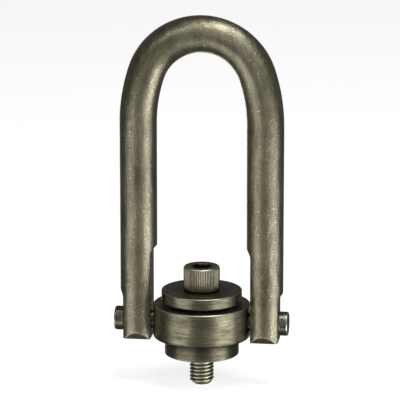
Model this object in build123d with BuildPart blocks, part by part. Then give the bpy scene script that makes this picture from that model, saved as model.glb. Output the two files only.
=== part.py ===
from build123d import *

import os
from math import cos, radians, sqrt

# Safety swivel hoist ring: a tall round U-bar pinned to a ring that swivels on a flanged bushing,
# with a 1/2-13 socket head screw through the middle.
# Millimetres. Z = 0 is the bushing's mounting face, +Z points up the screw, X runs along the pins.

INCH = 25.4

# The screw: 1/2 inch by 2 inches under the head
SCREW_DIAMETER = INCH / 2
SCREW_LENGTH = 2 * INCH
SCREW_TIP_DIAMETER = 8.6
HEAD_DIAMETER = 3 / 4 * INCH
HEAD_HEIGHT = INCH / 2
HEAD_TOP_CHAMFER = 0.6
HEAD_BOTTOM_CHAMFER = 0.7
SOCKET_ACROSS_FLATS = 3 / 8 * INCH
SOCKET_DEPTH = 6.4
SOCKET_DRILL_DEPTH = 1.6
SOCKET_LEAD_IN = 0.4

# The bushing that the ring swivels on
FLANGE_DIAMETER = 39.0
FLANGE_THICKNESS = 9.1
BARREL_DIAMETER = INCH
BARREL_TOP = 28.6
SCREW_HOLE_DIAMETER = 13.1
RING_POCKET_DIAMETER = 18.0
RING_POCKET_DEPTH = 2.2

# The upper washer
WASHER_DIAMETER = 42.2
WASHER_THICKNESS = 5.8

# The swivel ring
RING_DIAMETER = 50.8
RING_BOTTOM = 9.4
RING_TOP = 27.0
BARREL_CLEARANCE = 0.05

# The U-bar: round bar a little over 3/4 inch, and flanks of a large radius
# between the straight legs and the crown
BAR_DIAMETER = 19.4
LEG_SPACING = 66.4
PIN_HEIGHT = 17.3
LEG_STRAIGHT_RISE = 105.2
CROWN_RADIUS = 30.4
FLANK_TURN = 18.3
LEG_FOOT_DROP = 9.4
INNER_FLAT_OFFSET = 7.0
INNER_FLAT_RISE = 41.1
OUTER_FLAT_OFFSET = 7.65
OUTER_FLAT_RISE = 17.8
CUTTER_RADIUS = 5.5
FOOT_BEVEL_DEPTH = 2.5
FOOT_BEVEL_HEIGHT = 4.0
FOOT_ROUND = 0.6

# The shoulder pins that the U-bar swings on
PIN_DIAMETER = 3 / 8 * INCH
PIN_HEAD_DIAMETER = INCH / 2
PIN_HEAD_THICKNESS = 4.6
PIN_HEAD_ROUND = 0.9
PIN_HEAD_GAP = 0.3
PIN_END_X = 14.0
PIVOT_CLEARANCE = 0.05
SEAT_CLEARANCE = 0.02

# The spring pins that lock the shoulder pins in the ring
ROLL_PIN_DIAMETER = INCH / 8
ROLL_PIN_WALL = 0.65
ROLL_PIN_SLOT = 0.8
ROLL_PIN_X = 20.2
ROLL_PIN_LENGTH = 14.5
ROLL_PIN_RECESS = 0.3

# The retaining ring that keeps the screw in the bushing
GROOVE_BOTTOM = 0.5
GROOVE_WIDTH = 1.2
GROOVE_DIAMETER = 11.2
RETAINING_RING_THICKNESS = 1.0
RETAINING_RING_DIAMETER = 16.0
RETAINING_RING_GAP = 4.0

# Edge breaks
EDGE_BREAK = 0.4
RING_EDGE_BREAK = 0.7

# Worked out from the sizes above
WASHER_TOP = BARREL_TOP + WASHER_THICKNESS
HEAD_TOP = WASHER_TOP + HEAD_HEIGHT
SCREW_END = WASHER_TOP - SCREW_LENGTH
TIP_CHAMFER = (SCREW_DIAMETER - SCREW_TIP_DIAMETER) / 2
LEG_X = LEG_SPACING / 2
BAR_RADIUS = BAR_DIAMETER / 2
FOOT_Z = PIN_HEIGHT - LEG_FOOT_DROP
LEG_STRAIGHT_TOP = PIN_HEIGHT + LEG_STRAIGHT_RISE
FLANK_RADIUS = (LEG_X - CROWN_RADIUS * cos(radians(FLANK_TURN))) / (1 - cos(radians(FLANK_TURN)))
PIN_HEAD_X = LEG_X + OUTER_FLAT_OFFSET + PIN_HEAD_GAP
PIN_AXIS = Axis((0, 0, PIN_HEIGHT), (1, 0, 0))
PIN_PLANE = Plane(origin=(0, 0, PIN_HEIGHT), x_dir=(0, 1, 0), z_dir=(1, 0, 0))
SIDES = {"right": 1, "left": -1}

os.makedirs("parts", exist_ok=True)


def save(name, piece):
    """Label a finished piece and write it under its own name."""
    piece.part.label = name
    export_step(piece.part, f"parts/{name}.step")


# Flanged bushing: the flange stands on the load and its barrel is the ring's axle
with BuildPart() as bushing:
    Cylinder(FLANGE_DIAMETER / 2, FLANGE_THICKNESS, align=(Align.CENTER, Align.CENTER, Align.MIN))
    flange_rims = bushing.edges().filter_by(GeomType.CIRCLE)
    chamfer(flange_rims, EDGE_BREAK)
    with BuildSketch(Plane.XY.offset(FLANGE_THICKNESS)):
        Circle(BARREL_DIAMETER / 2)
    extrude(amount=BARREL_TOP - FLANGE_THICKNESS)
    barrel_rim = bushing.edges().filter_by(GeomType.CIRCLE).group_by(Axis.Z)[-1]
    chamfer(barrel_rim, EDGE_BREAK)
    Hole(SCREW_HOLE_DIAMETER / 2)
    with BuildSketch(Plane.XY):
        Circle(RING_POCKET_DIAMETER / 2)
    extrude(amount=RING_POCKET_DEPTH, mode=Mode.SUBTRACT)
save("bushing", bushing)


# Swivel ring: turns about the barrel and holds the shoulder pins
with BuildPart() as swivel_ring:
    with BuildSketch(Plane.XY.offset(RING_BOTTOM)):
        Circle(RING_DIAMETER / 2)
        Circle(BARREL_DIAMETER / 2 + BARREL_CLEARANCE, mode=Mode.SUBTRACT)
    extrude(amount=RING_TOP - RING_BOTTOM)
    outer_rims = swivel_ring.edges().filter_by(GeomType.CIRCLE).group_by(SortBy.RADIUS)[-1]
    chamfer(outer_rims, RING_EDGE_BREAK)
    with BuildSketch(PIN_PLANE):
        Circle(PIN_DIAMETER / 2 + SEAT_CLEARANCE)
    extrude(amount=RING_DIAMETER, both=True, mode=Mode.SUBTRACT)
    with BuildSketch(Plane.XY.offset(RING_BOTTOM)):
        with Locations((ROLL_PIN_X, 0), (-ROLL_PIN_X, 0)):
            Circle(ROLL_PIN_DIAMETER / 2 + SEAT_CLEARANCE)
    extrude(amount=ROLL_PIN_RECESS + ROLL_PIN_LENGTH, mode=Mode.SUBTRACT)
save("swivel_ring", swivel_ring)


# Upper washer: clamped between the screw head and the barrel, it keeps the ring on the bushing
with BuildPart() as washer:
    with BuildSketch(Plane.XY.offset(BARREL_TOP)):
        Circle(WASHER_DIAMETER / 2)
        Circle(SCREW_HOLE_DIAMETER / 2, mode=Mode.SUBTRACT)
    extrude(amount=WASHER_THICKNESS)
    washer_rims = washer.edges().filter_by(GeomType.CIRCLE).group_by(SortBy.RADIUS)[-1]
    chamfer(washer_rims, EDGE_BREAK)
save("washer", washer)


# Socket head screw: the thread is a plain shank of its major diameter
with BuildPart() as socket_head_screw:
    with BuildSketch(Plane.XY.offset(SCREW_END)):
        Circle(SCREW_DIAMETER / 2)
    extrude(amount=SCREW_LENGTH)
    tip_rim = socket_head_screw.edges().filter_by(GeomType.CIRCLE).group_by(Axis.Z)[0]
    chamfer(tip_rim, TIP_CHAMFER)
    with BuildSketch(Plane.XY.offset(WASHER_TOP)):
        Circle(HEAD_DIAMETER / 2)
    extrude(amount=HEAD_HEIGHT)
    head_rims = socket_head_screw.edges().filter_by(GeomType.CIRCLE).group_by(SortBy.RADIUS)[-1]
    chamfer(head_rims.sort_by(Axis.Z)[-1], HEAD_TOP_CHAMFER)
    chamfer(head_rims.sort_by(Axis.Z)[0], HEAD_BOTTOM_CHAMFER)
    with BuildSketch(Plane.XY.offset(HEAD_TOP)):
        RegularPolygon(SOCKET_ACROSS_FLATS / 2, 6, major_radius=False)
    extrude(amount=-SOCKET_DEPTH, mode=Mode.SUBTRACT)
    with Locations((0, 0, HEAD_TOP - SOCKET_DEPTH - SOCKET_DRILL_DEPTH)):
        Cone(
            0,
            SOCKET_ACROSS_FLATS / 2,
            SOCKET_DRILL_DEPTH,
            align=(Align.CENTER, Align.CENTER, Align.MIN),
            mode=Mode.SUBTRACT,
        )
    with Locations((0, 0, HEAD_TOP - SOCKET_LEAD_IN)):
        Cone(
            SOCKET_ACROSS_FLATS / sqrt(3) - SOCKET_LEAD_IN,
            SOCKET_ACROSS_FLATS / sqrt(3),
            SOCKET_LEAD_IN,
            align=(Align.CENTER, Align.CENTER, Align.MIN),
            mode=Mode.SUBTRACT,
        )
    with BuildSketch(Plane.XY.offset(GROOVE_BOTTOM)):
        Circle(SCREW_DIAMETER)
        Circle(GROOVE_DIAMETER / 2, mode=Mode.SUBTRACT)
    extrude(amount=GROOVE_WIDTH, mode=Mode.SUBTRACT)
save("socket_head_screw", socket_head_screw)


# Retaining ring: an open ring snapped into the screw's groove, inside the bushing's pocket
with BuildPart() as retaining_ring:
    with BuildSketch(Plane.XY.offset(GROOVE_BOTTOM + (GROOVE_WIDTH - RETAINING_RING_THICKNESS) / 2)):
        Circle(RETAINING_RING_DIAMETER / 2)
        Circle(GROOVE_DIAMETER / 2 + BARREL_CLEARANCE, mode=Mode.SUBTRACT)
        with Locations((0, -RETAINING_RING_DIAMETER / 2)):
            Rectangle(RETAINING_RING_GAP, RETAINING_RING_DIAMETER, mode=Mode.SUBTRACT)
    extrude(amount=RETAINING_RING_THICKNESS)
save("retaining_ring", retaining_ring)


# U-bar: one bent bar, flattened inside and outside at the legs' ends
with BuildPart() as u_bar:
    with BuildLine(Plane.XZ):
        right_leg = Line((LEG_X, FOOT_Z), (LEG_X, LEG_STRAIGHT_TOP))
        right_flank = JernArc(right_leg @ 1, right_leg % 1, FLANK_RADIUS, FLANK_TURN)
        crown = JernArc(right_flank @ 1, right_flank % 1, CROWN_RADIUS, 180 - 2 * FLANK_TURN)
        left_flank = JernArc(crown @ 1, crown % 1, FLANK_RADIUS, FLANK_TURN)
        Line(left_flank @ 1, (-LEG_X, FOOT_Z))
    with BuildSketch(Plane.XY.offset(FOOT_Z)):
        with Locations((LEG_X, 0)):
            Circle(BAR_RADIUS)
    sweep()

    # The flats and their run-outs, as a milling cutter leaves them
    for side in SIDES.values():
        inner_x = side * (LEG_X - INNER_FLAT_OFFSET)
        outer_x = side * (LEG_X + OUTER_FLAT_OFFSET)
        for flat_x, away, rise in ((inner_x, -side, INNER_FLAT_RISE), (outer_x, side, OUTER_FLAT_RISE)):
            cutter_x = flat_x + away * CUTTER_RADIUS
            cutter_z = PIN_HEIGHT + rise - CUTTER_RADIUS
            slab_height = cutter_z - FOOT_Z + BAR_DIAMETER
            with BuildSketch(Plane.XZ):
                with Locations((cutter_x, cutter_z)):
                    Circle(CUTTER_RADIUS)
                with Locations((cutter_x, cutter_z - slab_height / 2)):
                    Rectangle(2 * CUTTER_RADIUS, slab_height)
            extrude(amount=BAR_DIAMETER, both=True, mode=Mode.SUBTRACT)

    # Bevels on the front and back of the legs' feet
    foot_edges = u_bar.faces().group_by(Axis.Z)[0].edges()
    fillet(foot_edges.filter_by(Axis.Y), FOOT_ROUND)
    bevel_outline = (
        (BAR_RADIUS - FOOT_BEVEL_DEPTH, FOOT_Z),
        (BAR_RADIUS, FOOT_Z + FOOT_BEVEL_HEIGHT),
        (BAR_DIAMETER, FOOT_Z + FOOT_BEVEL_HEIGHT),
        (BAR_DIAMETER, FOOT_Z - FOOT_BEVEL_HEIGHT),
        (BAR_RADIUS - FOOT_BEVEL_DEPTH, FOOT_Z - FOOT_BEVEL_HEIGHT),
    )
    with BuildSketch(Plane.YZ):
        with BuildLine():
            Polyline(*bevel_outline, close=True)
        make_face()
        mirror(about=Plane.YZ)
    extrude(amount=LEG_SPACING, both=True, mode=Mode.SUBTRACT)

    with BuildSketch(PIN_PLANE):
        Circle(PIN_DIAMETER / 2 + PIVOT_CLEARANCE)
    extrude(amount=LEG_SPACING, both=True, mode=Mode.SUBTRACT)
save("u_bar", u_bar)


# Shoulder pins and the spring pins that lock them, one of each on either side
for side_name, side in SIDES.items():
    with BuildPart() as shoulder_pin:
        with BuildSketch(PIN_PLANE.offset(side * PIN_END_X)):
            Circle(PIN_DIAMETER / 2)
        extrude(amount=side * (PIN_HEAD_X - PIN_END_X))
        with BuildSketch(PIN_PLANE.offset(side * PIN_HEAD_X)):
            Circle(PIN_HEAD_DIAMETER / 2)
        extrude(amount=side * PIN_HEAD_THICKNESS)
        pin_rims = shoulder_pin.edges().filter_by(GeomType.CIRCLE).sort_by(lambda rim: side * rim.center().X)
        fillet(pin_rims[-1], PIN_HEAD_ROUND)
        chamfer(pin_rims[0], EDGE_BREAK)
        with BuildSketch(Plane.XY):
            with Locations((side * ROLL_PIN_X, 0)):
                Circle(ROLL_PIN_DIAMETER / 2 + SEAT_CLEARANCE)
        extrude(amount=2 * PIN_HEIGHT, mode=Mode.SUBTRACT)
    save(f"shoulder_pin_{side_name}", shoulder_pin)

    with BuildPart() as roll_pin:
        with BuildSketch(Plane.XY.offset(RING_BOTTOM + ROLL_PIN_RECESS)):
            with Locations((side * ROLL_PIN_X, 0)):
                Circle(ROLL_PIN_DIAMETER / 2)
                Circle(ROLL_PIN_DIAMETER / 2 - ROLL_PIN_WALL, mode=Mode.SUBTRACT)
            with Locations((side * ROLL_PIN_X, ROLL_PIN_DIAMETER / 2)):
                Rectangle(ROLL_PIN_SLOT, ROLL_PIN_DIAMETER, mode=Mode.SUBTRACT)
        extrude(amount=ROLL_PIN_LENGTH)
    save(f"roll_pin_{side_name}", roll_pin)
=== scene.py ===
import math

import bmesh
import bpy
from mathutils import Euler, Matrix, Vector, noise


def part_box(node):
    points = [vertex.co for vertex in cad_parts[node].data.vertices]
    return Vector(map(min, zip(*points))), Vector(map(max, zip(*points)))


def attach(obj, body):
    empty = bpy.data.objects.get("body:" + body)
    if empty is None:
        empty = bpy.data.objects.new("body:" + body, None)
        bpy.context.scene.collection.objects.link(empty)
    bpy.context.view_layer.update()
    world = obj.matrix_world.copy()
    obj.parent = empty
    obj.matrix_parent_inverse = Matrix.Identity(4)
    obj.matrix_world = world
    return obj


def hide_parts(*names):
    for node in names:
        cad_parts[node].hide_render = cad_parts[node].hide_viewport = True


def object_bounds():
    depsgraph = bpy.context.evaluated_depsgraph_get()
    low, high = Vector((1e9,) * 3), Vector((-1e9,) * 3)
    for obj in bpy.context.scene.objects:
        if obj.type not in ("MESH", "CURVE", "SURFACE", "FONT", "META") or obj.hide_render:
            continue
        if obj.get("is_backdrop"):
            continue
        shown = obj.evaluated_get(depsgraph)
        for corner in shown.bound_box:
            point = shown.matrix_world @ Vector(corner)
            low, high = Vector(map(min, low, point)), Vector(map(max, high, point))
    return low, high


# Safety swivel hoist ring. Metres, +Z up the screw, X along the pins, Z = 0 on the mounting face.

MM = 0.001
TAU = 2 * math.pi

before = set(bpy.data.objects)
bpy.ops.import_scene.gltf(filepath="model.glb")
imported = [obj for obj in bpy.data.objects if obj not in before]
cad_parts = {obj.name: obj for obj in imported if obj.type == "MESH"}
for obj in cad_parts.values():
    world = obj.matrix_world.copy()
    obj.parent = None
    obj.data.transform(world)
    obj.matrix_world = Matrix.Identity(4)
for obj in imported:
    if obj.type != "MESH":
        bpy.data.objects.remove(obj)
cad_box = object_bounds()


# ---------------------------------------------------------------- sizes read from the frame


def low(node):
    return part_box(node)[0]


def high(node):
    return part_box(node)[1]


PIN_Z = (low("shoulder_pin_right").z + high("shoulder_pin_right").z) / 2
PIN_HEAD_RADIUS = high("shoulder_pin_right").y
PIN_OUTER_X = high("shoulder_pin_right").x
PIN_INNER_X = low("shoulder_pin_right").x
PIN_RADIUS = 4.7625 * MM
PIN_HEAD_THICKNESS = 4.6 * MM
RING_PIN_CLEARANCE = 0.02 * MM
BAR_PIN_CLEARANCE = 0.05 * MM
ROLL_PIN_CLEARANCE = 0.02 * MM

RING_RADIUS = high("swivel_ring").x
RING_BOTTOM = low("swivel_ring").z
RING_TOP = high("swivel_ring").z
BARREL_RADIUS = 12.7 * MM
BARREL_CLEARANCE = 0.05 * MM

FLANGE_RADIUS = high("bushing").x
FLANGE_TOP = 9.1 * MM
BARREL_TOP = high("bushing").z
SCREW_HOLE_RADIUS = 6.55 * MM
POCKET_RADIUS = 9.0 * MM
POCKET_DEPTH = 2.2 * MM

WASHER_RADIUS = high("washer").x
WASHER_TOP = high("washer").z

SCREW_RADIUS = 6.35 * MM
SCREW_TIP_RADIUS = 4.3 * MM
SCREW_END = low("socket_head_screw").z
HEAD_TOP = high("socket_head_screw").z
HEAD_RADIUS = high("socket_head_screw").x
SOCKET_ACROSS_FLATS = 9.525 * MM
SOCKET_DEPTH = 6.4 * MM
SOCKET_POINT_DEPTH = 1.6 * MM
GROOVE_LOW = 0.5 * MM
GROOVE_HIGH = 1.7 * MM
GROOVE_RADIUS = 5.6 * MM
THREAD_PITCH = 25.4 * MM / 13
THREAD_DEPTH = 0.6134 * THREAD_PITCH
THREAD_FADE = 0.5 * MM
KNURL_TEETH = 64
KNURL_DEPTH = 0.28 * MM

BAR_RADIUS = high("u_bar").y
LEG_X = high("u_bar").x - BAR_RADIUS
FOOT_Z = low("u_bar").z
LEG_STRAIGHT_TOP = PIN_Z + 105.2 * MM
CROWN_RADIUS = 30.4 * MM
FLANK_TURN = math.radians(18.3)
FLANK_RADIUS = (LEG_X - CROWN_RADIUS * math.cos(FLANK_TURN)) / (1 - math.cos(FLANK_TURN))
INNER_FLAT = 7.0 * MM
OUTER_FLAT = 7.65 * MM
CUTTER_RADIUS = 5.5 * MM
FLAT_EDGE_WEAR = 0.5 * MM
BEVEL_EDGE_WEAR = 0.4 * MM
DENT_SPACING = 9 * MM
DENT_DEPTH = 0.05 * MM
INNER_CUTTER_Z = PIN_Z + 41.1 * MM - CUTTER_RADIUS
OUTER_CUTTER_Z = PIN_Z + 17.8 * MM - CUTTER_RADIUS
FOOT_BEVEL_DEPTH = 2.5 * MM
FOOT_BEVEL_HEIGHT = 4.0 * MM


# ---------------------------------------------------------------- mesh helpers


def make_piece(name, verts, faces, wear_and_painted_light, body, nodes):
    """A shaded mesh object that stands for its CAD nodes.

    The values given for the vertices, one each, are 1 on worn edges, lightened as wear and as a
    painted highlight, 0 on open faces, and -1 in recesses, darkened as painted shade.
    """
    mesh = bpy.data.meshes.new(name)
    mesh.from_pydata(verts, [], faces)
    mesh.validate()
    mesh.shade_smooth()
    attribute = mesh.attributes.new("wear_and_painted_light", "FLOAT", "POINT")
    attribute.data.foreach_set("value", wear_and_painted_light)
    piece = bpy.data.objects.new(name, mesh)
    bpy.context.scene.collection.objects.link(piece)
    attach(piece, body)
    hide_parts(*nodes)
    return piece


def rounded(corners, steps=6):
    """Points (radius, height, wear and painted light) along a closed outline with rounded corners.

    A corner is (radius, height, round) or (radius, height, round, value), where a negative value
    paints shade. Without a given value a rounded corner is worn along its middle, which also lightens
    it as a painted highlight, and a sharp one, whose round is 0, isn't worn.
    """
    points = []
    count = len(corners)
    for i, (r, z, size, *given) in enumerate(corners):
        here = Vector((r, z))
        if size == 0:
            points.append((r, z, given[0] if given else 0.0))
            continue
        before = (Vector(corners[i - 1][:2]) - here).normalized()
        after = (Vector(corners[(i + 1) % count][:2]) - here).normalized()
        half = before.angle(after) / 2
        start = here + before * size / math.tan(half)
        end = here + after * size / math.tan(half)
        centre = here + (before + after).normalized() * size / math.sin(half)
        for k in range(steps + 1):
            share = k / steps
            spoke = (start - centre).slerp(end - centre, share)
            point = centre + spoke.normalized() * size
            points.append((point.x, point.y, given[0] if given else math.sin(math.pi * share)))
    return points


def lathe(outline, segments):
    """Turns a closed outline of (radius, height, wear and painted light) about Z. Returns (vertices,
    faces, wear and painted light).
    """
    verts, faces, wear_and_painted_light = [], [], []
    for r, z, painted_light_and_wear in outline:
        for j in range(segments):
            angle = TAU * j / segments
            verts.append((r * math.cos(angle), r * math.sin(angle), z))
            wear_and_painted_light.append(painted_light_and_wear)
    count = len(outline)
    for i in range(count):
        for j in range(segments):
            here, there = i * segments, ((i + 1) % count) * segments
            k = (j + 1) % segments
            faces.append((here + j, here + k, there + k, there + j))
    return verts, faces, wear_and_painted_light


def tube_faces(rings, segments, first=0):
    """Quads between successive rings of vertices."""
    faces = []
    for i in range(rings - 1):
        for j in range(segments):
            a = first + i * segments + j
            b = first + i * segments + (j + 1) % segments
            faces.append((a, b, b + segments, a + segments))
    return faces


def weighted_normals(piece):
    """Keeps flat faces flat in shading next to small rounds."""
    modifier = piece.modifiers.new("weighted_normals", "WEIGHTED_NORMAL")
    modifier.keep_sharp = True
    modifier.weight = 80


def close_slivers(mesh):
    """Merges the very thin faces that a cut leaves."""
    sliver = 0.003 * MM
    shape = bmesh.new()
    shape.from_mesh(mesh)
    bmesh.ops.remove_doubles(shape, verts=shape.verts, dist=sliver)
    bmesh.ops.dissolve_degenerate(shape, edges=shape.edges, dist=sliver)
    shape.to_mesh(mesh)
    shape.free()


def weld_doubled_points(piece):
    """Joins points that lie on top of each other, such as a lathed ring of no radius."""
    weld = piece.modifiers.new("weld", "WELD")
    weld.merge_threshold = 0.001 * MM


def bore(piece, radius, centre, axis, length):
    """Cuts a round hole in a piece, and leaves the result as its mesh."""
    verts = []
    segments = 64
    turn = Vector((0, 0, 1)).rotation_difference(Vector(axis))
    for end in (-length / 2, length / 2):
        for j in range(segments):
            angle = TAU * j / segments
            spoke = Vector((radius * math.cos(angle), radius * math.sin(angle), end))
            verts.append(Vector(centre) + turn @ spoke)
    faces = tube_faces(2, segments)
    faces.append(tuple(reversed(range(segments))))
    faces.append(tuple(range(segments, 2 * segments)))
    mesh = bpy.data.meshes.new("cutter")
    mesh.from_pydata(verts, [], faces)
    cutter = bpy.data.objects.new("cutter", mesh)
    bpy.context.scene.collection.objects.link(cutter)
    modifier = piece.modifiers.new("bore", "BOOLEAN")
    modifier.operation = "DIFFERENCE"
    modifier.solver = "EXACT"
    modifier.object = cutter
    graph = bpy.context.evaluated_depsgraph_get()
    cut = bpy.data.meshes.new_from_object(piece.evaluated_get(graph))
    piece.modifiers.clear()
    piece.data = cut
    bpy.data.objects.remove(cutter)
    close_slivers(cut)


# ---------------------------------------------------------------- materials


class Nodes:
    """A short way to write a node tree."""

    def __init__(self, name):
        self.material = bpy.data.materials.new(name)
        self.material.use_nodes = True
        self.tree = self.material.node_tree
        self.shader = self.tree.nodes["Principled BSDF"]

    def add(self, kind, **settings):
        node = self.tree.nodes.new(kind)
        for key, value in settings.items():
            setattr(node, key, value)
        return node

    def put(self, socket, value):
        if isinstance(value, bpy.types.NodeSocket):
            self.tree.links.new(value, socket)
        else:
            socket.default_value = value

    def math(self, operation, a, b=0.0, clamp=False):
        node = self.add("ShaderNodeMath", operation=operation, use_clamp=clamp)
        self.put(node.inputs[0], a)
        self.put(node.inputs[1], b)
        return node.outputs[0]

    def noise(self, vector, scale, detail=3.0, rough=0.55):
        node = self.add("ShaderNodeTexNoise")
        self.put(node.inputs["Vector"], vector)
        self.put(node.inputs["Scale"], scale)
        self.put(node.inputs["Detail"], detail)
        self.put(node.inputs["Roughness"], rough)
        return node.outputs["Fac"]

    def remap(self, value, low_in, high_in, low_out=0.0, high_out=1.0):
        node = self.add("ShaderNodeMapRange", clamp=True)
        self.put(node.inputs["Value"], value)
        self.put(node.inputs["From Min"], low_in)
        self.put(node.inputs["From Max"], high_in)
        self.put(node.inputs["To Min"], low_out)
        self.put(node.inputs["To Max"], high_out)
        return node.outputs["Result"]

    def mix(self, share, a, b):
        node = self.add("ShaderNodeMix", data_type="RGBA")
        self.put(node.inputs[0], share)
        self.put(node.inputs[6], a)
        self.put(node.inputs[7], b)
        return node.outputs[2]

    def bump(self, height, distance, strength=1.0, normal=None):
        node = self.add("ShaderNodeBump")
        self.put(node.inputs["Height"], height)
        self.put(node.inputs["Distance"], distance)
        self.put(node.inputs["Strength"], strength)
        if normal is not None:
            self.put(node.inputs["Normal"], normal)
        return node.outputs["Normal"]

    def place(self):
        """The surface point in millimetres."""
        coordinate = self.add("ShaderNodeTexCoord")
        scaled = self.add("ShaderNodeVectorMath", operation="SCALE")
        self.put(scaled.inputs[0], coordinate.outputs["Object"])
        self.put(scaled.inputs["Scale"], 1 / MM)
        return scaled.outputs[0]

    def wear_and_painted_light(self):
        """(how much wear and a painted highlight lighten the surface, how much painted shade darkens
        it in a recess), each from 0 to 1.
        """
        attribute = self.add("ShaderNodeAttribute", attribute_name="wear_and_painted_light")
        value = attribute.outputs["Fac"]
        return self.remap(value, 0.0, 1.0), self.remap(value, 0.0, -1.0)


def oil(n, weight):
    """A thin film of oil, whose highlights are white over the tinted steel."""
    n.put(n.shader.inputs["Coat Weight"], weight)
    n.put(n.shader.inputs["Coat Roughness"], 0.3)
    n.put(n.shader.inputs["Coat IOR"], 1.5)


def olive(value, warmth=1.0):
    """A blackened steel colour: warmth turns it from grey towards olive."""
    return (value, value * (1 - 0.09 * warmth), value * (1 - 0.43 * warmth), 1.0)


def forged_steel():
    """Heat-treated bar: dark olive clouds, and small bright specks where it has rubbed through."""
    n = Nodes("forged_steel")
    place = n.place()
    painted_light_and_wear, _ = n.wear_and_painted_light()
    stretched = n.add("ShaderNodeVectorMath", operation="MULTIPLY")
    n.put(stretched.inputs[0], place)
    n.put(stretched.inputs[1], (1.0, 1.0, 0.35))
    cloud = n.noise(stretched.outputs[0], 0.16, 4.0, 0.65)
    grain = n.noise(place, 0.9, 4.0, 0.75)
    specks = n.remap(n.noise(place, 1.45, 2.0, 0.5), 0.61, 0.69)
    tone = n.mix(n.remap(cloud, 0.36, 0.64), olive(0.16, 1.15), olive(0.31, 0.95))
    tone = n.mix(n.remap(grain, 0.42, 0.7, 0.0, 0.5), tone, olive(0.11, 1.15))
    tone = n.mix(n.math("MULTIPLY", specks, 0.6), tone, olive(0.75, 0.4))
    tone = n.mix(n.math("MULTIPLY", painted_light_and_wear, 0.55), tone, olive(0.55, 0.5))
    n.put(n.shader.inputs["Base Color"], tone)
    n.put(n.shader.inputs["Metallic"], 1.0)
    rough = n.remap(grain, 0.3, 0.7, 0.3, 0.42)
    n.put(n.shader.inputs["Roughness"], n.math("SUBTRACT", rough, n.math("MULTIPLY", specks, 0.1)))
    oil(n, 0.8)
    coarse = n.bump(cloud, 0.4 * MM)
    n.put(n.shader.inputs["Normal"], n.bump(grain, 0.16 * MM, 1.0, coarse))
    return n.material


def turned(n, place, fine, coarse, along):
    """Noise drawn out around Z, as turning and brushing leave it: (fine lines, broad bands)."""
    parts = n.add("ShaderNodeSeparateXYZ")
    n.put(parts.inputs[0], place)
    x, y, z = parts.outputs
    radius = n.math("SQRT", n.math("ADD", n.math("MULTIPLY", x, x), n.math("MULTIPLY", y, y)))
    # cosine and sine of the angle go once round without a seam
    around_x = n.math("MULTIPLY", n.math("DIVIDE", x, radius), along)
    around_y = n.math("MULTIPLY", n.math("DIVIDE", y, radius), along)
    across = n.math("ADD", radius, z)
    results = []
    for scale in (fine, coarse):
        joined = n.add("ShaderNodeCombineXYZ")
        n.put(joined.inputs[0], around_x)
        n.put(joined.inputs[1], around_y)
        n.put(joined.inputs[2], n.math("MULTIPLY", across, scale))
        results.append(n.noise(joined.outputs[0], 1.0, 4.0, 0.6))
    return results


def turned_steel():
    """Turned, then blackened: broken lines run round it, its edges are lightened as wear and as a
    painted highlight, and its recesses darkened as painted shade.
    """
    dark, light = 0.12, 0.285
    streak = 0.6
    n = Nodes("turned_steel")
    place = n.place()
    painted_light_and_wear, painted_shade = n.wear_and_painted_light()
    fine, broad = turned(n, place, 1.9, 0.35, 2.6)
    patch = n.noise(place, 0.14, 3.0, 0.6)
    streaks = n.math("ADD", n.math("MULTIPLY", fine, streak), n.math("MULTIPLY", broad, 1 - streak))
    tone = n.mix(n.remap(streaks, 0.4, 0.6), olive(dark, 1.1), olive(light, 0.85))
    tone = n.mix(n.remap(patch, 0.4, 0.65, 0.0, 0.6), tone, olive(dark * 0.75))
    # worn edges, lightened as wear and partly as a painted highlight
    tone = n.mix(n.math("MULTIPLY", painted_light_and_wear, 0.8), tone, olive(0.75, 0.4))
    # painted shade: recesses and faces under an overhang are darkened
    tone = n.mix(n.math("MULTIPLY", painted_shade, 0.9), tone, olive(0.03, 0.5))
    n.put(n.shader.inputs["Base Color"], tone)
    n.put(n.shader.inputs["Metallic"], 1.0)
    n.put(n.shader.inputs["Roughness"], n.remap(streaks, 0.4, 0.6, 0.42, 0.3))
    oil(n, 0.2)
    n.put(n.shader.inputs["Normal"], n.bump(streaks, 0.12 * MM))
    return n.material


def screw_steel():
    """Phosphated alloy steel: crests of knurl and thread lighter, as wear and as a painted highlight,
    and their grooves dark, as painted shade.
    """
    n = Nodes("screw_steel")
    place = n.place()
    painted_light_and_wear, painted_shade = n.wear_and_painted_light()
    grain = n.noise(place, 1.1, 4.0, 0.7)
    tone = n.mix(n.remap(grain, 0.35, 0.65), olive(0.21, 1.0), olive(0.36, 0.9))
    # crests lightened as wear and as a painted highlight
    tone = n.mix(n.math("MULTIPLY", painted_light_and_wear, 0.9), tone, olive(0.9, 0.45))
    # painted shade in grooves, socket and under the head
    tone = n.mix(n.math("MULTIPLY", painted_shade, 0.85), tone, olive(0.02, 0.6))
    n.put(n.shader.inputs["Base Color"], tone)
    n.put(n.shader.inputs["Metallic"], 1.0)
    n.put(n.shader.inputs["Roughness"], n.remap(grain, 0.3, 0.7, 0.28, 0.42))
    n.put(n.shader.inputs["Normal"], n.bump(grain, 0.06 * MM))
    return n.material


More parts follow.
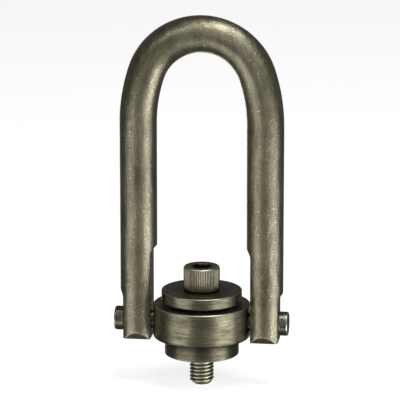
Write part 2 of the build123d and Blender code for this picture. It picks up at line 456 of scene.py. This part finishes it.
def pin_steel():
    """Ground and blackened, so smoother than the other steels."""
    n = Nodes("pin_steel")
    place = n.place()
    painted_light_and_wear, painted_shade = n.wear_and_painted_light()
    grain = n.noise(place, 1.3, 3.0, 0.6)
    tone = n.mix(n.remap(grain, 0.35, 0.65), olive(0.14, 0.7), olive(0.26, 0.6))
    # worn edges, lightened as wear and as a painted highlight
    tone = n.mix(n.math("MULTIPLY", painted_light_and_wear, 0.85), tone, olive(0.75, 0.4))
    # painted shade on the shank between leg and ring
    tone = n.mix(n.math("MULTIPLY", painted_shade, 0.8), tone, olive(0.03, 0.4))
    n.put(n.shader.inputs["Base Color"], tone)
    n.put(n.shader.inputs["Metallic"], 1.0)
    n.put(n.shader.inputs["Roughness"], n.remap(grain, 0.3, 0.7, 0.22, 0.34))
    n.put(n.shader.inputs["Normal"], n.bump(grain, 0.03 * MM))
    return n.material


def spring_steel():
    """Blued spring steel."""
    n = Nodes("spring_steel")
    grain = n.noise(n.place(), 4.0, 3.0, 0.6)
    tone = n.mix(n.remap(grain, 0.3, 0.7), olive(0.08, 0.3), olive(0.14, 0.2))
    n.put(n.shader.inputs["Base Color"], tone)
    n.put(n.shader.inputs["Metallic"], 1.0)
    n.put(n.shader.inputs["Roughness"], n.remap(grain, 0.3, 0.7, 0.3, 0.42))
    return n.material


FORGED = forged_steel()
TURNED = turned_steel()
SCREW = screw_steel()
PIN = pin_steel()
SPRING = spring_steel()


# ---------------------------------------------------------------- turned pieces


def make_bushing():
    corners = (
        (POCKET_RADIUS, 0.0, 0.25 * MM),
        (FLANGE_RADIUS, 0.0, 0.5 * MM),
        # painted shade: the flange's side darkens towards its top, under the swivel ring's overhang
        (FLANGE_RADIUS, 0.15 * FLANGE_TOP, 0.0, -0.15),
        (FLANGE_RADIUS, 0.55 * FLANGE_TOP, 0.0, -0.45),
        (FLANGE_RADIUS, 0.75 * FLANGE_TOP, 0.0, -0.9),
        (FLANGE_RADIUS, FLANGE_TOP, 0.45 * MM, -1.0),
        (BARREL_RADIUS, FLANGE_TOP, 0.0),
        (BARREL_RADIUS, BARREL_TOP, 0.4 * MM),
        (SCREW_HOLE_RADIUS, BARREL_TOP, 0.2 * MM),
        (SCREW_HOLE_RADIUS, POCKET_DEPTH, 0.15 * MM),
        (POCKET_RADIUS, POCKET_DEPTH, 0.0),
    )
    verts, faces, wear_and_painted_light = lathe(rounded(corners), segments=192)
    piece = make_piece("flanged_bushing", verts, faces, wear_and_painted_light, "bushing", ["bushing"])
    weighted_normals(piece)
    piece.data.materials.append(TURNED)


def make_swivel_ring():
    corners = (
        (BARREL_RADIUS + BARREL_CLEARANCE, RING_BOTTOM, 0.3 * MM),
        # painted shade: the ring's underside and its lower rounded edge are darkened
        (RING_RADIUS - 3 * MM, RING_BOTTOM, 0.0, -1.0),
        (RING_RADIUS, RING_BOTTOM, 0.8 * MM, -0.9),
        (RING_RADIUS, RING_BOTTOM + 1.6 * MM, 0.0),
        (RING_RADIUS, RING_TOP, 0.7 * MM),
        (BARREL_RADIUS + BARREL_CLEARANCE, RING_TOP, 0.3 * MM),
    )
    verts, faces, wear_and_painted_light = lathe(rounded(corners), segments=240)
    piece = make_piece("swivel_body", verts, faces, wear_and_painted_light, "swivel_ring", ["swivel_ring"])
    bore(piece, PIN_RADIUS + RING_PIN_CLEARANCE, (0, 0, PIN_Z), (1, 0, 0), 3 * RING_RADIUS)
    bore_for_roll_pin(piece, "right")
    bore_for_roll_pin(piece, "left")
    weighted_normals(piece)
    piece.data.materials.append(TURNED)


def make_washer():
    bottom = low("washer").z
    corners = (
        (SCREW_HOLE_RADIUS, bottom, 0.2 * MM),
        (WASHER_RADIUS, bottom, 0.45 * MM),
        (WASHER_RADIUS, WASHER_TOP, 0.45 * MM),
        (HEAD_RADIUS + 7 * MM, WASHER_TOP, 0.0),
        # painted shadow: the washer's top darkens towards and under the screw head
        (HEAD_RADIUS + 3 * MM, WASHER_TOP, 0.0, -0.6),
        (HEAD_RADIUS, WASHER_TOP, 0.0, -1.0),
        (SCREW_HOLE_RADIUS, WASHER_TOP, 0.2 * MM, -1.0),
    )
    verts, faces, wear_and_painted_light = lathe(rounded(corners), segments=240)
    piece = make_piece("upper_washer", verts, faces, wear_and_painted_light, "washer", ["washer"])
    weighted_normals(piece)
    piece.data.materials.append(TURNED)


def bore_for_roll_pin(piece, side_name):
    """Cuts the hole that a roll pin is driven into."""
    lowest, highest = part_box(f"roll_pin_{side_name}")
    centre = (lowest + highest) / 2
    radius = (highest.x - lowest.x) / 2 + ROLL_PIN_CLEARANCE
    bore(piece, radius, (centre.x, 0, lowest.z), (0, 0, 1), 2 * (highest.z - lowest.z))


def make_shoulder_pin(side_name, side):
    inner, outer = PIN_INNER_X, PIN_OUTER_X
    neck = outer - PIN_HEAD_THICKNESS
    corners = (
        (0.0, inner, 0.0),
        (PIN_RADIUS, inner, 0.4 * MM),
        # painted shade: the shank, seen in the gap between leg and ring, is darkened
        (PIN_RADIUS, inner + 2 * MM, 0.0, -0.8),
        (PIN_RADIUS, neck, 0.0, -0.8),
        (PIN_HEAD_RADIUS, neck, 0.3 * MM),
        (PIN_HEAD_RADIUS, outer, 0.9 * MM),
        (0.0, outer, 0.0),
    )
    verts, faces, wear_and_painted_light = lathe(rounded(corners), segments=128)
    # the turning axis goes from Z to the side's X, and the first and last rings are one point each
    spun = [(side * z, -side * y, PIN_Z + x) for x, y, z in verts]
    name = f"shoulder_pin_{side_name}"
    piece = make_piece(f"pivot_{side_name}", spun, faces, wear_and_painted_light, "swivel_ring", [name])
    weld_doubled_points(piece)
    bore_for_roll_pin(piece, side_name)
    weighted_normals(piece)
    piece.data.materials.append(PIN)


# ---------------------------------------------------------------- screw


def thread_profile(phase):
    """Depth of the thread at a phase counted in pitches: 0 on a crest, and 1 at a root."""
    crest, root = 1 / 8, 1 / 8
    flank = (1 - crest - root) / 2
    from_crest = abs(phase - round(phase))
    share = min(max((from_crest - crest / 2) / flank, 0.0), 1.0)
    return share * share * (3 - 2 * share)


def make_screw():
    shank_segments = 144
    head_segments = 3 * shank_segments
    verts, faces, wear_and_painted_light = [], [], []

    def ring(segments, radius_at, z, wear_and_painted_light_at):
        for j in range(segments):
            angle = TAU * j / segments
            r = radius_at(angle)
            verts.append((r * math.cos(angle), r * math.sin(angle), z))
            wear_and_painted_light.append(wear_and_painted_light_at(angle))

    def plain(r):
        return lambda angle: r

    def painted_light_and_wear(value):
        return lambda angle: value

    def threaded(z):
        limit = SCREW_TIP_RADIUS + (z - SCREW_END)

        def radius_at(angle):
            depth = thread_profile(z / THREAD_PITCH - angle / TAU)
            fade = min(max((GROOVE_LOW - z) / THREAD_FADE, 0.0), 1.0)
            return min(SCREW_RADIUS - THREAD_DEPTH * depth * fade, limit)

        # crests lightened as wear and a painted highlight, roots darkened as painted shade
        def wear_and_painted_light_at(angle):
            depth = thread_profile(z / THREAD_PITCH - angle / TAU)
            return 1.2 - 1.7 * depth

        return radius_at, wear_and_painted_light_at

    # the tip, the thread, the retaining ring's groove and the plain shank
    verts.append((0, 0, SCREW_END))
    wear_and_painted_light.append(0.0)
    thread_steps = 210
    for i in range(thread_steps + 1):
        z = SCREW_END + (GROOVE_LOW - SCREW_END) * i / thread_steps
        radius_at, wear_and_painted_light_at = threaded(z)
        ring(shank_segments, radius_at, z, wear_and_painted_light_at)
    shank_rings = thread_steps + 1
    groove_and_shank = (
        (GROOVE_RADIUS, GROOVE_LOW),
        (GROOVE_RADIUS, GROOVE_HIGH),
        (SCREW_RADIUS, GROOVE_HIGH),
        (SCREW_RADIUS, WASHER_TOP),
    )
    for r, z in groove_and_shank:
        ring(shank_segments, plain(r), z, painted_light_and_wear(0.0))
        shank_rings += 1
    for j in range(shank_segments):
        faces.append((0, 1 + (j + 1) % shank_segments, 1 + j))
    faces += tube_faces(shank_rings, shank_segments, 1)

    # under the head, three head vertices meet each shank vertex
    last_shank = 1 + (shank_rings - 1) * shank_segments
    first_head = len(verts)
    chamfer = 0.7 * MM
    knurl_low = WASHER_TOP + chamfer
    knurl_high = HEAD_TOP - 0.75 * MM
    rim_radius = HEAD_RADIUS - KNURL_DEPTH

    def tooth(angle):
        return 0.5 + 0.5 * math.cos(KNURL_TEETH * angle)

    def knurled(angle):
        return HEAD_RADIUS - KNURL_DEPTH * (1 - tooth(angle)) ** 1.3

    # knurl grooves darkened as painted shade, crests lightened as wear
    def knurl_wear_and_painted_shade(angle):
        return 1.6 * tooth(angle) - 1.1

    def hexagon(grow):
        def radius_at(angle):
            sector = (angle + math.pi / 6) % (math.pi / 3) - math.pi / 6
            # corners point along X, so the flats' middles lie halfway between them
            return (SOCKET_ACROSS_FLATS / 2 + grow) / math.cos(math.pi / 6 - abs(sector))

        return radius_at

    profile = [
        # painted shade under the head, on its bottom chamfer
        (plain(HEAD_RADIUS - chamfer - 0.3 * MM), WASHER_TOP, painted_light_and_wear(-0.5)),
        (plain(HEAD_RADIUS - chamfer), WASHER_TOP + 0.12 * MM, painted_light_and_wear(-0.5)),
        (plain(rim_radius), knurl_low - 0.1 * MM, painted_light_and_wear(-0.2)),
        (knurled, knurl_low + 0.2 * MM, knurl_wear_and_painted_shade),
        (knurled, knurl_high - 0.2 * MM, knurl_wear_and_painted_shade),
        (plain(rim_radius), knurl_high + 0.1 * MM, painted_light_and_wear(0.3)),
    ]
    rim_steps = 6
    rim = HEAD_TOP - (knurl_high + 0.1 * MM)
    for k in range(1, rim_steps + 1):
        turn = math.pi / 2 * k / rim_steps
        r = rim_radius - rim * (1 - math.cos(turn))
        z = HEAD_TOP - rim * (1 - math.sin(turn))
        profile.append((plain(r), z, painted_light_and_wear(math.sin(2 * turn))))
    profile += [
        (hexagon(0.5 * MM), HEAD_TOP, painted_light_and_wear(0.0)),
        # painted shade: the hex socket darkens from its rim down
        (hexagon(0.35 * MM), HEAD_TOP - 0.08 * MM, painted_light_and_wear(-0.6)),
        (hexagon(0.0), HEAD_TOP - 0.4 * MM, painted_light_and_wear(-0.9)),
        (hexagon(0.0), HEAD_TOP - 1.2 * MM, painted_light_and_wear(-1.0)),
        (hexagon(0.0), HEAD_TOP - SOCKET_DEPTH, painted_light_and_wear(-1.0)),
    ]
    for radius_at, z, wear_and_painted_light_at in profile:
        ring(head_segments, radius_at, z, wear_and_painted_light_at)
    for j in range(shank_segments):
        k = (j + 1) % shank_segments
        fan = [first_head + (3 * j + step) % head_segments for step in (3, 2, 1, 0)]
        faces.append((last_shank + j, last_shank + k, *fan))
    faces += tube_faces(len(profile), head_segments, first_head)
    floor_ring = len(verts) - head_segments
    # the socket's point, darkened as painted shade
    verts.append((0, 0, HEAD_TOP - SOCKET_DEPTH - SOCKET_POINT_DEPTH))
    wear_and_painted_light.append(-1.0)
    for j in range(head_segments):
        faces.append((floor_ring + j, floor_ring + (j + 1) % head_segments, len(verts) - 1))
    piece = make_piece("cap_screw", verts, faces, wear_and_painted_light, "screw", ["socket_head_screw"])
    weighted_normals(piece)
    piece.data.materials.append(SCREW)


# ---------------------------------------------------------------- U-bar


def soft_limit(value, limit, round_size):
    """The lower of value and limit, with the corner between them rounded."""
    gap = (limit - value) / round_size
    if gap > 1:
        return value
    if gap < -1:
        return limit
    return (value + limit) / 2 - round_size * (1 + gap * gap) / 4


def flat_reach(z, flat, cutter_z):
    """How far from the leg's centre the steel goes beside a flat with a milled run-out."""
    above = z - cutter_z
    if above <= 0:
        return flat
    if above >= CUTTER_RADIUS:
        return 2 * BAR_RADIUS
    return flat + CUTTER_RADIUS - math.sqrt(CUTTER_RADIUS**2 - above**2)


def bar_path():
    """(x, z, turn) of the bar's centre line, from the right foot over the crown to the left foot.

    turn is the angle of the outward direction: 0 on the right leg and half a turn on the left one.
    """
    stations = []
    foot_length = INNER_CUTTER_Z + CUTTER_RADIUS - FOOT_Z
    fine = 0.32 * MM
    coarse = 1.5 * MM
    z = FOOT_Z
    while z < LEG_STRAIGHT_TOP:
        stations.append((LEG_X, z, 0.0))
        z += fine if z < FOOT_Z + foot_length else coarse
    flank_centre = LEG_X - FLANK_RADIUS
    flank_steps = 16
    for i in range(flank_steps):
        turn = FLANK_TURN * i / flank_steps
        x = flank_centre + FLANK_RADIUS * math.cos(turn)
        stations.append((x, LEG_STRAIGHT_TOP + FLANK_RADIUS * math.sin(turn), turn))
    crown_z = LEG_STRAIGHT_TOP + (FLANK_RADIUS - CROWN_RADIUS) * math.sin(FLANK_TURN)
    crown_steps = 36
    for i in range(crown_steps + 1):
        turn = FLANK_TURN + (math.pi / 2 - FLANK_TURN) * i / crown_steps
        stations.append((CROWN_RADIUS * math.cos(turn), crown_z + CROWN_RADIUS * math.sin(turn), turn))
    mirrored = [(-x, z, math.pi - turn) for x, z, turn in reversed(stations[:-1])]
    return stations + mirrored


def make_u_bar():
    segments = 160
    edge_round = 0.35 * MM
    verts, wear_and_painted_light = [], []

    def surface_point(x, z, turn, angle, shrink=1.0):
        """A point round the bar and its wear. Angle 0 faces out of the bow, and shrink draws it in."""
        out = BAR_RADIUS * math.cos(angle)
        side = BAR_RADIUS * math.sin(angle)
        painted_light_and_wear = 0.0
        if z < LEG_STRAIGHT_TOP:
            outer = flat_reach(z, OUTER_FLAT, OUTER_CUTTER_Z)
            inner = flat_reach(z, INNER_FLAT, INNER_CUTTER_Z)
            reach = outer if out > 0 else inner
            limited = soft_limit(abs(out), reach, edge_round)
            near_edge = 1 - min(abs(abs(out) - reach) / FLAT_EDGE_WEAR, 1.0)
            out = math.copysign(limited, out)
            depth = BAR_RADIUS - FOOT_BEVEL_DEPTH + (z - FOOT_Z) * FOOT_BEVEL_DEPTH / FOOT_BEVEL_HEIGHT
            bevelled = soft_limit(abs(side), depth, edge_round)
            near_bevel = 1 - min(abs(abs(side) - depth) / BEVEL_EDGE_WEAR, 1.0)
            side = math.copysign(bevelled, side)
            painted_light_and_wear = max(near_edge, near_bevel)
        else:
            dent = noise.noise(Vector((x, z, side)) / DENT_SPACING) * DENT_DEPTH
            out -= abs(dent) * math.cos(angle)
        out *= shrink
        side *= shrink
        return (x + out * math.cos(turn), side, z + out * math.sin(turn)), painted_light_and_wear

    def ring(x, z, turn, shrink=1.0):
        for j in range(segments):
            point, painted_light_and_wear = surface_point(x, z, turn, TAU * j / segments, shrink)
            verts.append(point)
            wear_and_painted_light.append(painted_light_and_wear)

    flat_shares = (0.0, 0.35, 0.7, 0.9)
    round_size = 0.5 * MM
    round_steps = 5

    def foot(x, turn, order):
        """The closed end of a leg: a flat face and a rounded rim that meets the leg's side."""
        rows = [(share, 0.0) for share in flat_shares]
        for k in range(round_steps):
            angle = math.pi / 2 * k / round_steps
            share = 1 - round_size * (1 - math.sin(angle)) / BAR_RADIUS
            rows.append((share, round_size * (1 - math.cos(angle))))
        for share, lift in order(rows):
            ring(x, FOOT_Z + lift, turn, share)

    foot(LEG_X, 0.0, iter)
    for x, z, turn in bar_path():
        if z > FOOT_Z + round_size:
            ring(x, z, turn)
    foot(-LEG_X, math.pi, reversed)
    faces = tube_faces(len(verts) // segments, segments)
    piece = make_piece("u_shaped_bar", verts, faces, wear_and_painted_light, "u_bar", ["u_bar"])
    weld_doubled_points(piece)
    bore(piece, PIN_RADIUS + BAR_PIN_CLEARANCE, (0, 0, PIN_Z), (1, 0, 0), 4 * LEG_X)
    weighted_normals(piece)
    piece.data.materials.append(FORGED)


# ---------------------------------------------------------------- build

make_bushing()
make_swivel_ring()
make_washer()
make_shoulder_pin("right", 1)
make_shoulder_pin("left", -1)
make_screw()
make_u_bar()

for node in ("retaining_ring", "roll_pin_left", "roll_pin_right"):
    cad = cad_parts[node]
    cad.data.materials.clear()
    cad.data.materials.append(SPRING)


# ---------------------------------------------------------------- stage, lights and camera


def pale_floor():
    n = Nodes("pale_floor")
    mottle = n.noise(n.place(), 0.004, 2.0, 0.5)
    n.put(n.shader.inputs["Base Color"], n.mix(mottle, (0.5, 0.5, 0.5, 1), (0.54, 0.54, 0.54, 1)))
    n.put(n.shader.inputs["Roughness"], 0.9)
    n.put(n.shader.inputs["Specular IOR Level"], 0.0)
    n.put(n.shader.inputs["Emission Color"], (1, 1, 1, 1))
    n.put(n.shader.inputs["Emission Strength"], 0.8)
    return n.material


def make_floor():
    reach = 12.0
    mesh = bpy.data.meshes.new("floor")
    corners = [(-reach, -reach, 0), (reach, -reach, 0), (reach, reach, 0), (-reach, reach, 0)]
    mesh.from_pydata(corners, [], [(0, 1, 2, 3)])
    floor = bpy.data.objects.new("floor", mesh)
    floor.location.z = SCREW_END - 0.1 * MM
    bpy.context.scene.collection.objects.link(floor)
    floor.data.materials.append(pale_floor())
    floor.visible_glossy = False
    floor.visible_shadow = False
    floor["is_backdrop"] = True


TARGET = Vector((0, 0, 80 * MM))
CAMERA_AZIMUTH = 7.65


def panel(name, azimuth, elevation, distance, width, height, radiance):
    """A soft rectangular light that faces the object.

    Its azimuth is in degrees from the camera's side, positive to the camera's right.
    """
    a, e = math.radians(CAMERA_AZIMUTH + azimuth), math.radians(elevation)
    offset = Vector((math.sin(a) * math.cos(e), -math.cos(a) * math.cos(e), math.sin(e)))
    data = bpy.data.lights.new(name, "AREA")
    data.shape = "RECTANGLE"
    data.size = width
    data.size_y = height
    data.energy = radiance * math.pi * width * height
    light = bpy.data.objects.new(name, data)
    light.location = TARGET + offset * distance
    light.rotation_mode = "QUATERNION"
    light.rotation_quaternion = offset.to_track_quat("Z", "Y")
    light.visible_camera = False
    bpy.context.scene.collection.objects.link(light)


def make_lights():
    # the floor casts no shadow, so lights of negative elevation shine up from below it:
    # a camera that looks down sees upright steel mirror what is down there
    panel("left_strip", -53, -26, 1.0, 0.9, 0.6, 1.7)
    panel("right_strip", 59, -26, 1.0, 0.72, 0.6, 3.6)
    panel("right_inner", 28, -26, 1.0, 0.25, 0.6, 0.6)
    panel("upper_left", -48, 40, 1.0, 0.3, 0.45, 2.4)
    panel("upper_right", 44, 40, 1.0, 0.3, 0.45, 3.0)
    panel("low_fill", 0, -46, 1.0, 0.9, 0.5, 0.65)
    panel("back_strip", -170, -26, 1.0, 0.45, 0.6, 2.0)
    panel("overhead", 48, 73, 1.0, 0.7, 0.5, 5.3)
    panel("front_fill", 5, 20, 1.6, 0.8, 1.6, 0.8)
    world = bpy.data.worlds.new("studio")
    world.use_nodes = True
    background = world.node_tree.nodes["Background"]
    background.inputs["Color"].default_value = (1, 1, 1, 1)
    background.inputs["Strength"].default_value = 0.1
    bpy.context.scene.world = world


def make_camera():
    azimuth = math.radians(CAMERA_AZIMUTH)
    elevation = math.radians(15.67)
    tilt = math.radians(14.0)
    pan = math.radians(0.03)
    distance = 1747.3 * MM
    aim_height = 30 * MM
    data = bpy.data.cameras.new("camera")
    data.sensor_width = 36
    data.lens = 300.3
    data.clip_start = 0.1
    data.clip_end = 50
    camera = bpy.data.objects.new("camera", data)
    level = distance * math.cos(elevation)
    camera.location = (
        level * math.sin(azimuth),
        -level * math.cos(azimuth),
        aim_height + distance * math.sin(elevation),
    )
    camera.rotation_euler = Euler((math.pi / 2 - tilt, 0, azimuth + pan), "XYZ")
    bpy.context.scene.collection.objects.link(camera)
    bpy.context.scene.camera = camera


make_floor()
make_lights()
make_camera()
bpy.context.scene.view_settings.view_transform = "Standard"

boxes = {"cad": cad_box, "visual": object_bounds()}
{key: [list(corner) for corner in box] for key, box in boxes.items()}
